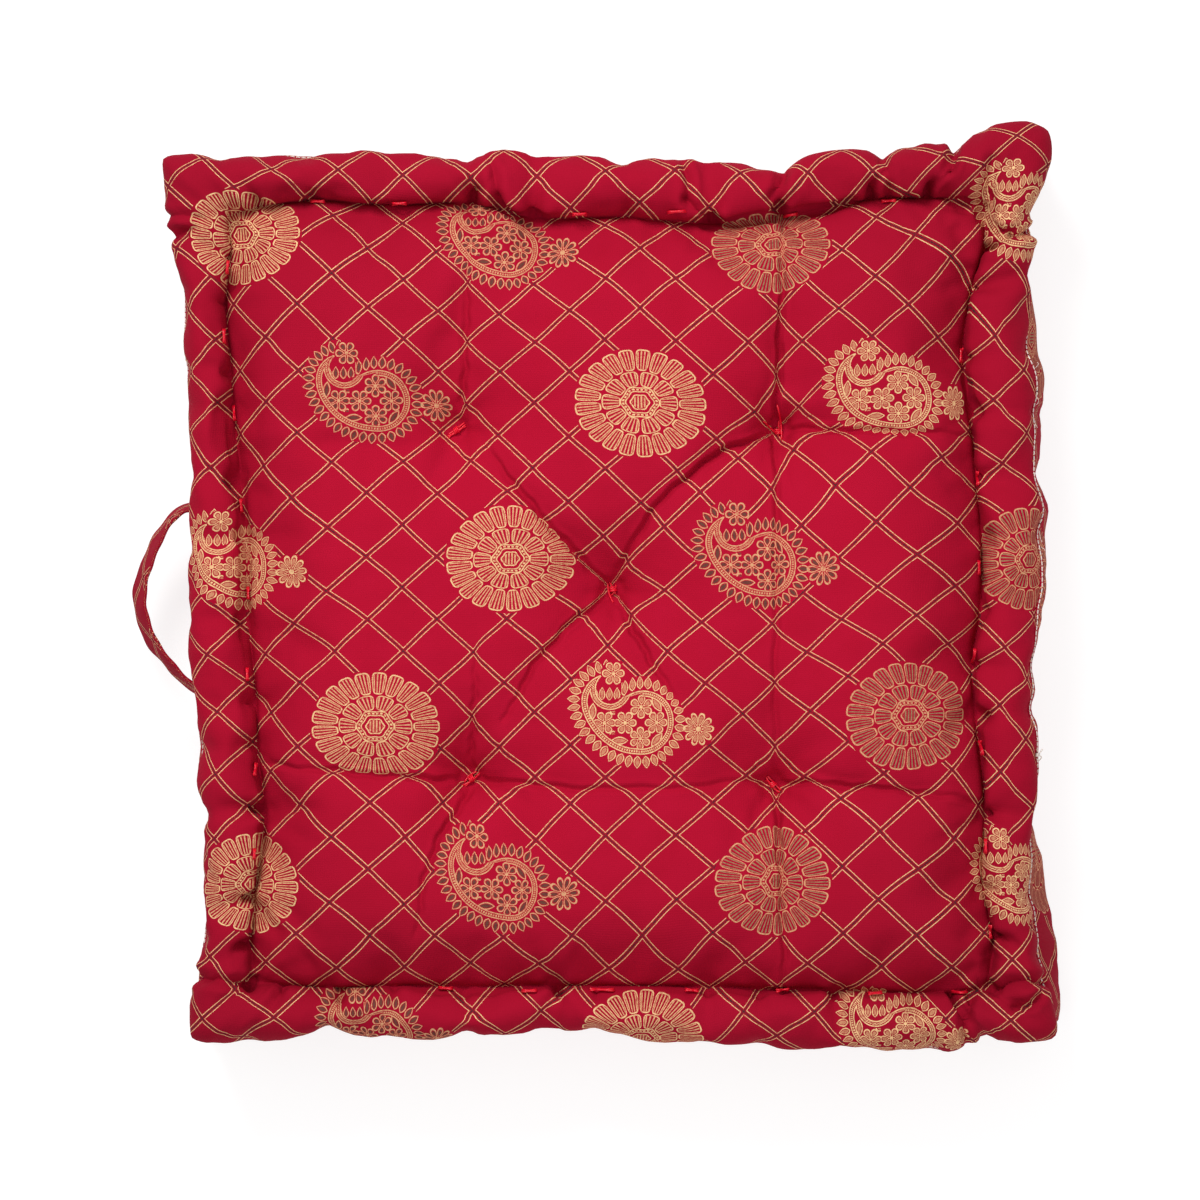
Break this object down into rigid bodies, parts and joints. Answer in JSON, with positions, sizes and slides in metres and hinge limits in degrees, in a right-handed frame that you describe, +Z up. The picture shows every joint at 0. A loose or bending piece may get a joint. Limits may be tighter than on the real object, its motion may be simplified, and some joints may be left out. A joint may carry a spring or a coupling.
{
  "type": "tufted box cushion with strap handle",
  "caption": "Square floor cushion with a rolled, hand-sewn edge, tied tufts, a filled body and a cloth strap handle on one side.",
  "frame": {"origin": "middle of the plan box, on the surface that the cushion lies on", "axes": "+Z up through the tufted face, the strap handle at -X, +Y towards the back edge"},
  "size_m": [0.4774, 0.476, 0.09],
  "materials": {
    "cover": "crimson printed cotton",
    "strap": "folded crimson cotton",
    "floss": "glossy red floss"
  },
  "bodies": {
    "root": {"cushion": "cover", "handle": "strap", "tuft_back_left": "floss", "tuft_back_right": "floss", "tuft_middle": "floss", "tuft_front_left": "floss", "tuft_front_right": "floss"}
  },
  "joints": []
}
